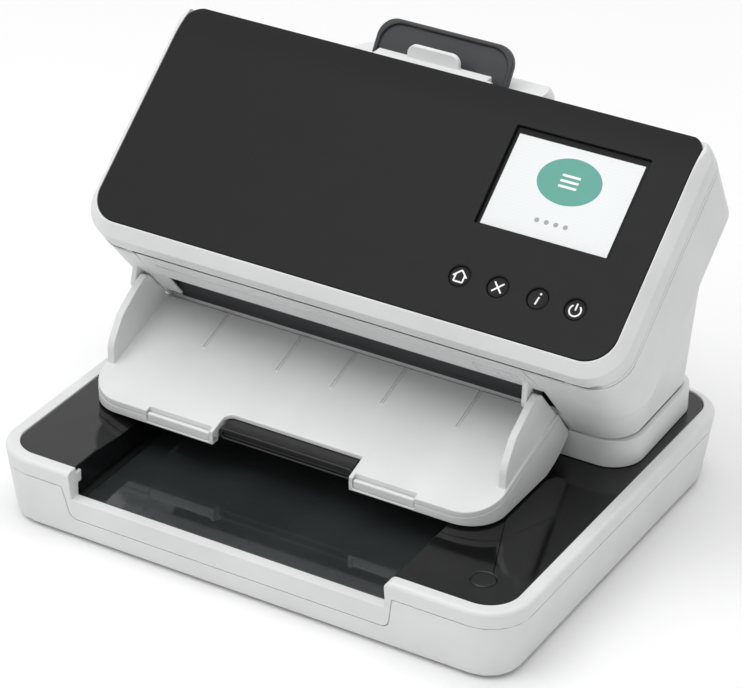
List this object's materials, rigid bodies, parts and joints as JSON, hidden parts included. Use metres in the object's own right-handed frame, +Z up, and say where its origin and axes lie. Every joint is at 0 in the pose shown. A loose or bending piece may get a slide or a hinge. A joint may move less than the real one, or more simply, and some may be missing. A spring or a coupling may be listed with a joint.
{
  "type": "document scanner",
  "caption": "Sheet-fed document scanner with a tilted front panel and display, opening cover, input and output trays, docked on a small flatbed unit with a glass well.",
  "frame": {"origin": "on the table under the middle of the flatbed unit", "axes": "+X to the right seen from the front, +Y to the rear, +Z up; the front panel faces -Y and up"},
  "size_m": [0.312, 0.2444, 0.221],
  "materials": {
    "white_plastic": "light grey white, finely textured",
    "deck_plastic": "black, polished",
    "black_plastic": "black, satin",
    "charcoal_plastic": "dark grey, satin",
    "panel_plastic": "black, satin sheen",
    "rubber": "dark grey, matt",
    "steel": "plain",
    "scan_glass": "clear",
    "screen": "lit display behind a clear cover",
    "circuit_board": "green"
  },
  "bodies": {
    "housing": {"base_frame": "white_plastic", "base_tray": "white_plastic", "deck": "deck_plastic", "platen_frame": "black_plastic", "platen_glass": "scan_glass", "carriage_rod": "steel", "carriage_belt": "rubber", "carriage_motor": "steel", "pad_front_left": "rubber", "pad_front_right": "rubber", "pad_rear_left": "rubber", "pad_rear_right": "rubber", "foot": "white_plastic", "left_side_cover": "white_plastic", "right_side_cover": "white_plastic", "exit_chin": "white_plastic", "rear_cover": "white_plastic", "left_frame": "steel", "right_frame": "steel", "lower_guide": "black_plastic", "rear_image_sensor": "charcoal_plastic", "drive_belt": "rubber", "main_motor": "steel", "main_board": "circuit_board", "power_inlet": "charcoal_plastic", "data_socket": "charcoal_plastic", "speaker": "charcoal_plastic", "cover_pin_left": "steel", "cover_pin_right": "steel"},
    "cover": {"front_bezel": "white_plastic", "front_panel": "panel_plastic", "display_window": "screen", "display_module": "charcoal_plastic", "button_board": "circuit_board", "cover_guide": "black_plastic", "front_image_sensor": "charcoal_plastic"},
    "home_button": {"home_button": "panel_plastic"},
    "cancel_button": {"cancel_button": "panel_plastic"},
    "info_button": {"info_button": "panel_plastic"},
    "power_button": {"power_button": "panel_plastic"},
    "release_lever": {"release_lever": "white_plastic"},
    "separation_roller": {"separation_roller": "rubber"},
    "pressure_roller": {"pressure_roller": "rubber"},
    "feed_roller": {"feed_roller": "rubber"},
    "drive_roller": {"drive_roller": "rubber"},
    "exit_roller": {"exit_roller": "rubber"},
    "motor_shaft": {"motor_shaft": "steel"},
    "scan_carriage": {"scan_carriage": "charcoal_plastic"},
    "belt_idler_pulley": {"belt_idler_pulley": "charcoal_plastic"},
    "belt_drive_pulley": {"belt_drive_pulley": "charcoal_plastic"},
    "input_tray": {"input_tray": "white_plastic"},
    "tray_extension": {"tray_extension": "charcoal_plastic"},
    "left_side_guide": {"left_side_guide": "charcoal_plastic"},
    "right_side_guide": {"right_side_guide": "charcoal_plastic"},
    "guide_pinion": {"guide_pinion": "white_plastic"},
    "output_tray": {"output_tray": "white_plastic"},
    "output_extension": {"output_extension": "black_plastic"},
    "left_end_stop": {"left_end_stop": "white_plastic"},
    "right_end_stop": {"right_end_stop": "white_plastic"}
  },
  "joints": [
    {"name": "cover_hinge", "type": "hinge", "parent": "housing", "child": "cover", "pos_m": [0, -0.02267, 0.12029], "axis": [1, 0, 0], "range_deg": [0, 50]},
    {"name": "home_button_press", "type": "slide", "parent": "cover", "child": "home_button", "axis": [0, 0.6323, -0.7747], "range_m": [0, 0.0008], "stiffness_N_per_m": 120, "springref_m": -0.001},
    {"name": "cancel_button_press", "type": "slide", "parent": "cover", "child": "cancel_button", "axis": [0, 0.6323, -0.7747], "range_m": [0, 0.0008], "stiffness_N_per_m": 120, "springref_m": -0.001},
    {"name": "info_button_press", "type": "slide", "parent": "cover", "child": "info_button", "axis": [0, 0.6323, -0.7747], "range_m": [0, 0.0008], "stiffness_N_per_m": 120, "springref_m": -0.001},
    {"name": "power_button_press", "type": "slide", "parent": "cover", "child": "power_button", "axis": [0, 0.6323, -0.7747], "range_m": [0, 0.0008], "stiffness_N_per_m": 120, "springref_m": -0.001},
    {"name": "release_lever_pull", "type": "hinge", "parent": "cover", "child": "release_lever", "pos_m": [0, 0.0842, 0.2074], "axis": [1, 0, 0], "range_deg": [0, 10], "stiffness_Nm_per_rad": 0.01, "springref_deg": -14.9},
    {"name": "separation_roller_turn", "type": "hinge", "parent": "cover", "child": "separation_roller", "pos_m": [0, 0.04127, 0.16816], "axis": [1, 0, 0], "continuous": true},
    {"name": "pressure_roller_turn", "type": "hinge", "parent": "cover", "child": "pressure_roller", "pos_m": [0, 0.01835, 0.1488], "axis": [1, 0, 0], "continuous": true},
    {"name": "drive_roller_turn", "type": "hinge", "parent": "housing", "child": "drive_roller", "pos_m": [0, 0.02739, 0.13772], "axis": [1, 0, 0], "continuous": true},
    {"name": "feed_roller_turn", "type": "hinge", "parent": "housing", "child": "feed_roller", "pos_m": [0, 0.05126, 0.15592], "axis": [1, 0, 0], "continuous": true},
    {"name": "exit_roller_turn", "type": "hinge", "parent": "housing", "child": "exit_roller", "pos_m": [0, 0.00041, 0.117], "axis": [1, 0, 0], "continuous": true},
    {"name": "motor_shaft_turn", "type": "hinge", "parent": "housing", "child": "motor_shaft", "pos_m": [0, 0.056, 0.084], "axis": [1, 0, 0], "continuous": true},
    {"name": "scan_carriage_slide", "type": "slide", "parent": "housing", "child": "scan_carriage", "axis": [1, 0, 0], "range_m": [0, 0.152]},
    {"name": "belt_idler_turn", "type": "hinge", "parent": "housing", "child": "belt_idler_pulley", "pos_m": [-0.117, 0.0404, 0.011], "axis": [0, 0, 1], "range_deg": [-5, 1500]},
    {"name": "belt_drive_turn", "type": "hinge", "parent": "housing", "child": "belt_drive_pulley", "pos_m": [0.103, 0.0404, 0.011], "axis": [0, 0, 1], "range_deg": [-5, 1500]},
    {"name": "input_tray_tip", "type": "hinge", "parent": "housing", "child": "input_tray", "pos_m": [0, 0.10263, 0.17996], "axis": [-1, 0, 0], "range_deg": [0, 15]},
    {"name": "tray_extension_slide", "type": "slide", "parent": "input_tray", "child": "tray_extension", "axis": [0, 0.5519, 0.8339], "range_m": [0, 0.045]},
    {"name": "left_side_guide_slide", "type": "slide", "parent": "housing", "child": "left_side_guide", "axis": [1, 0, 0], "range_m": [0, 0.075]},
    {"name": "right_side_guide_slide", "type": "slide", "parent": "housing", "child": "right_side_guide", "axis": [-1, 0, 0], "range_m": [0, 0.075]},
    {"name": "guide_pinion_turn", "type": "hinge", "parent": "housing", "child": "guide_pinion", "pos_m": [-0.0135, 0.07176, 0.18252], "axis": [0, -0.6323, 0.7747], "range_deg": [-1300, 5]},
    {"name": "output_tray_tip", "type": "hinge", "parent": "housing", "child": "output_tray", "pos_m": [0, -0.0085, 0.092], "axis": [-1, 0, 0], "range_deg": [0, 35]},
    {"name": "output_extension_slide", "type": "slide", "parent": "output_tray", "child": "output_extension", "axis": [0, -0.9513, -0.3082], "range_m": [0, 0.045]},
    {"name": "left_end_stop_flip", "type": "hinge", "parent": "output_tray", "child": "left_end_stop", "pos_m": [0, -0.0598, 0.04842], "axis": [-1, 0, 0], "range_deg": [0, 170]},
    {"name": "right_end_stop_flip", "type": "hinge", "parent": "output_tray", "child": "right_end_stop", "pos_m": [0, -0.0598, 0.04842], "axis": [-1, 0, 0], "range_deg": [0, 170]}
  ],
  "couplings": [
    {"joint": "feed_roller_turn", "follows": "drive_roller_turn", "ratio": 0.875},
    {"joint": "exit_roller_turn", "follows": "drive_roller_turn", "ratio": 1.1667},
    {"joint": "motor_shaft_turn", "follows": "drive_roller_turn", "ratio": 1.4},
    {"joint": "belt_idler_turn", "follows": "scan_carriage_slide", "rad_per_m": 169.5},
    {"joint": "belt_drive_turn", "follows": "scan_carriage_slide", "rad_per_m": 169.5},
    {"joint": "right_side_guide_slide", "follows": "left_side_guide_slide", "ratio": 1},
    {"joint": "guide_pinion_turn", "follows": "left_side_guide_slide", "rad_per_m": -294.1}
  ]
}
